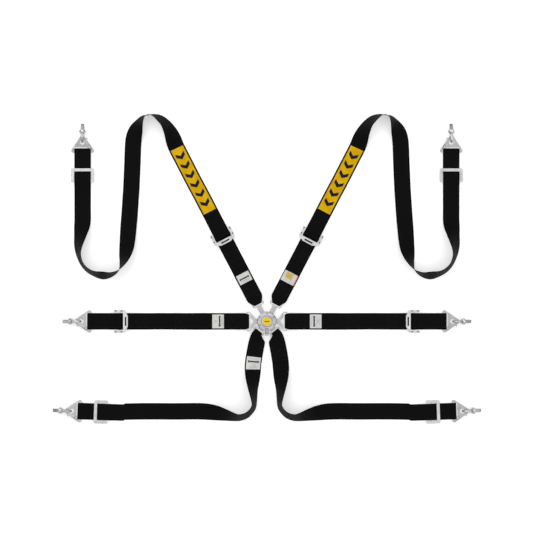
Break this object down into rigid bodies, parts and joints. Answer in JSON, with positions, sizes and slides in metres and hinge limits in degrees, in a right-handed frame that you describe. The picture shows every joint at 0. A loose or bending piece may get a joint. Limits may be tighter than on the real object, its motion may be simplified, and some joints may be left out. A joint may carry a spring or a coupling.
{
  "type": "racing harness",
  "caption": "Racing harness laid flat: rotary cam-lock buckle, webbing straps with adjusters, snap hooks and threaded eyebolts.",
  "frame": {"origin": "centre of the rotary buckle, on its flat back face, at the level of the surface that the harness lies on", "axes": "+Z out of the buckle's face, +Y towards the shoulder straps, +X towards the lap strap on the viewer's right, as seen from the front"},
  "size_m": [1.327, 0.96, 0.0511],
  "materials": {
    "webbing": "woven polyester webbing",
    "yellow_patch": "woven label, satin",
    "cast_alloy": "satin die-cast",
    "lever_alloy": "satin",
    "yellow_badge": "gloss domed resin",
    "bare_steel": "bare",
    "satin_steel": "satin zinc plate",
    "knurled_steel": "knurled",
    "plated_steel": "bright nickel plate",
    "zinc_steel": "mottled zinc plate"
  },
  "bodies": {
    "buckle_and_fixed_lap_strap": {"buckle_base": "cast_alloy", "buckle_cover": "cast_alloy", "cover_screws": "bare_steel", "latch_spring_plate": "bare_steel", "return_spring": "bare_steel", "lap_tongue_left": "satin_steel", "lap_strap_left": "webbing", "lap_adjuster_left": "plated_steel", "lap_anchor_strap_left": "webbing", "lap_hook_left": "satin_steel"},
    "release_lever": {"turn_lever": "lever_alloy", "center_badge": "yellow_badge", "release_cam": "bare_steel"},
    "shoulder_strap_assembly_left": {"shoulder_tongue_left": "satin_steel", "chest_strap_left": "webbing", "shoulder_adjuster_left": "plated_steel", "shoulder_strap_left": "webbing", "shoulder_patch_left": "yellow_patch", "shoulder_slide_left": "plated_steel", "shoulder_hook_left": "satin_steel"},
    "shoulder_strap_assembly_right": {"shoulder_tongue_right": "satin_steel", "chest_strap_right": "webbing", "shoulder_adjuster_right": "plated_steel", "shoulder_strap_right": "webbing", "shoulder_patch_right": "yellow_patch", "shoulder_slide_right": "plated_steel", "shoulder_hook_right": "satin_steel"},
    "lap_strap_assembly_right": {"lap_tongue_right": "satin_steel", "lap_strap_right": "webbing", "lap_adjuster_right": "plated_steel", "lap_anchor_strap_right": "webbing", "lap_hook_right": "satin_steel"},
    "crotch_strap_assembly_left": {"crotch_tongue_left": "satin_steel", "crotch_strap_left": "webbing", "crotch_slide_left": "plated_steel", "crotch_hook_left": "satin_steel"},
    "crotch_strap_assembly_right": {"crotch_tongue_right": "satin_steel", "crotch_strap_right": "webbing", "crotch_slide_right": "plated_steel", "crotch_hook_right": "satin_steel"},
    "shoulder_adjuster_bar_left": {"shoulder_adjuster_bar_left": "knurled_steel"},
    "shoulder_adjuster_bar_right": {"shoulder_adjuster_bar_right": "knurled_steel"},
    "lap_adjuster_bar_left": {"lap_adjuster_bar_left": "knurled_steel"},
    "lap_adjuster_bar_right": {"lap_adjuster_bar_right": "knurled_steel"},
    "shoulder_gate_left": {"shoulder_gate_left": "satin_steel"},
    "shoulder_eyebolt_left": {"shoulder_eyebolt_left": "zinc_steel"},
    "shoulder_gate_right": {"shoulder_gate_right": "satin_steel"},
    "shoulder_eyebolt_right": {"shoulder_eyebolt_right": "zinc_steel"},
    "lap_gate_left": {"lap_gate_left": "satin_steel"},
    "lap_eyebolt_left": {"lap_eyebolt_left": "zinc_steel"},
    "lap_gate_right": {"lap_gate_right": "satin_steel"},
    "lap_eyebolt_right": {"lap_eyebolt_right": "zinc_steel"},
    "crotch_gate_left": {"crotch_gate_left": "satin_steel"},
    "crotch_eyebolt_left": {"crotch_eyebolt_left": "zinc_steel"},
    "crotch_gate_right": {"crotch_gate_right": "satin_steel"},
    "crotch_eyebolt_right": {"crotch_eyebolt_right": "zinc_steel"}
  },
  "joints": [
    {"name": "release_lever_turn", "type": "hinge", "parent": "buckle_and_fixed_lap_strap", "child": "release_lever", "pos_m": [0, 0, 0.02], "axis": [0, 0, 1], "range_deg": [-30, 30], "stiffness_Nm_per_rad": 0.4, "deforming": ["latch_spring_plate"]},
    {"name": "shoulder_tongue_pull_left", "type": "slide", "parent": "buckle_and_fixed_lap_strap", "child": "shoulder_strap_assembly_left", "axis": [-0.4617, 0.887, 0], "range_m": [0, 0.028], "deforming": ["latch_spring_plate"]},
    {"name": "shoulder_tongue_pull_right", "type": "slide", "parent": "buckle_and_fixed_lap_strap", "child": "shoulder_strap_assembly_right", "axis": [0.4617, 0.887, 0], "range_m": [0, 0.028], "deforming": ["latch_spring_plate"]},
    {"name": "lap_tongue_pull_right", "type": "slide", "parent": "buckle_and_fixed_lap_strap", "child": "lap_strap_assembly_right", "axis": [1, 0, 0], "range_m": [0, 0.028], "deforming": ["latch_spring_plate"]},
    {"name": "crotch_tongue_pull_left", "type": "slide", "parent": "buckle_and_fixed_lap_strap", "child": "crotch_strap_assembly_left", "axis": [-0.6293, -0.7771, 0], "range_m": [0, 0.028], "deforming": ["latch_spring_plate"]},
    {"name": "crotch_tongue_pull_right", "type": "slide", "parent": "buckle_and_fixed_lap_strap", "child": "crotch_strap_assembly_right", "axis": [0.6293, -0.7771, 0], "range_m": [0, 0.028], "deforming": ["latch_spring_plate"]},
    {"name": "shoulder_adjuster_bar_slide_left", "type": "slide", "parent": "shoulder_strap_assembly_left", "child": "shoulder_adjuster_bar_left", "axis": [-0.4617, 0.887, 0], "range_m": [0, 0.0025]},
    {"name": "shoulder_adjuster_bar_slide_right", "type": "slide", "parent": "shoulder_strap_assembly_right", "child": "shoulder_adjuster_bar_right", "axis": [0.4617, 0.887, 0], "range_m": [0, 0.0025]},
    {"name": "lap_adjuster_bar_slide_left", "type": "slide", "parent": "buckle_and_fixed_lap_strap", "child": "lap_adjuster_bar_left", "axis": [-1, 0, 0], "range_m": [0, 0.0025]},
    {"name": "lap_adjuster_bar_slide_right", "type": "slide", "parent": "lap_strap_assembly_right", "child": "lap_adjuster_bar_right", "axis": [1, 0, 0], "range_m": [0, 0.0025]},
    {"name": "shoulder_gate_open_left", "type": "hinge", "parent": "shoulder_strap_assembly_left", "child": "shoulder_gate_left", "pos_m": [-0.55, 0.53985, 0.01075], "axis": [0, -0.2756, 0.9613], "range_deg": [-28, 0], "stiffness_Nm_per_rad": 0.05},
    {"name": "shoulder_eyebolt_swing_left", "type": "hinge", "parent": "shoulder_strap_assembly_left", "child": "shoulder_eyebolt_left", "pos_m": [-0.571, 0.5679, 0.01595], "axis": [-1, 0, 0], "range_deg": [-70, 30]},
    {"name": "shoulder_gate_open_right", "type": "hinge", "parent": "shoulder_strap_assembly_right", "child": "shoulder_gate_right", "pos_m": [0.55, 0.53985, 0.01075], "axis": [0, -0.2756, 0.9613], "range_deg": [0, 28], "stiffness_Nm_per_rad": 0.05},
    {"name": "shoulder_eyebolt_swing_right", "type": "hinge", "parent": "shoulder_strap_assembly_right", "child": "shoulder_eyebolt_right", "pos_m": [0.571, 0.5679, 0.01595], "axis": [-1, 0, 0], "range_deg": [-70, 30]},
    {"name": "lap_gate_open_left", "type": "hinge", "parent": "buckle_and_fixed_lap_strap", "child": "lap_gate_left", "pos_m": [-0.56085, -0.021, 0.01075], "axis": [0.2756, 0, 0.9613], "range_deg": [0, 28], "stiffness_Nm_per_rad": 0.05},
    {"name": "lap_eyebolt_swing_left", "type": "hinge", "parent": "buckle_and_fixed_lap_strap", "child": "lap_eyebolt_left", "pos_m": [-0.5889, 0, 0.01595], "axis": [0, -1, 0], "range_deg": [-70, 30]},
    {"name": "lap_gate_open_right", "type": "hinge", "parent": "lap_strap_assembly_right", "child": "lap_gate_right", "pos_m": [0.56085, -0.021, 0.01075], "axis": [-0.2756, 0, 0.9613], "range_deg": [-28, 0], "stiffness_Nm_per_rad": 0.05},
    {"name": "lap_eyebolt_swing_right", "type": "hinge", "parent": "lap_strap_assembly_right", "child": "lap_eyebolt_right", "pos_m": [0.5889, 0, 0.01595], "axis": [0, 1, 0], "range_deg": [-70, 30]},
    {"name": "crotch_gate_open_left", "type": "hinge", "parent": "crotch_strap_assembly_left", "child": "crotch_gate_left", "pos_m": [-0.59159, -0.29885, 0.01075], "axis": [0.2755, -0.0096, 0.9613], "range_deg": [0, 28], "stiffness_Nm_per_rad": 0.05},
    {"name": "crotch_eyebolt_swing_left", "type": "hinge", "parent": "crotch_strap_assembly_left", "child": "crotch_eyebolt_left", "pos_m": [-0.61888, -0.27689, 0.01595], "axis": [-0.0349, -0.9994, 0], "range_deg": [-70, 30]},
    {"name": "crotch_gate_open_right", "type": "hinge", "parent": "crotch_strap_assembly_right", "child": "crotch_gate_right", "pos_m": [0.59159, -0.29885, 0.01075], "axis": [-0.2755, -0.0096, 0.9613], "range_deg": [-28, 0], "stiffness_Nm_per_rad": 0.05},
    {"name": "crotch_eyebolt_swing_right", "type": "hinge", "parent": "crotch_strap_assembly_right", "child": "crotch_eyebolt_right", "pos_m": [0.61888, -0.27689, 0.01595], "axis": [-0.0349, 0.9994, 0], "range_deg": [-70, 30]}
  ]
}
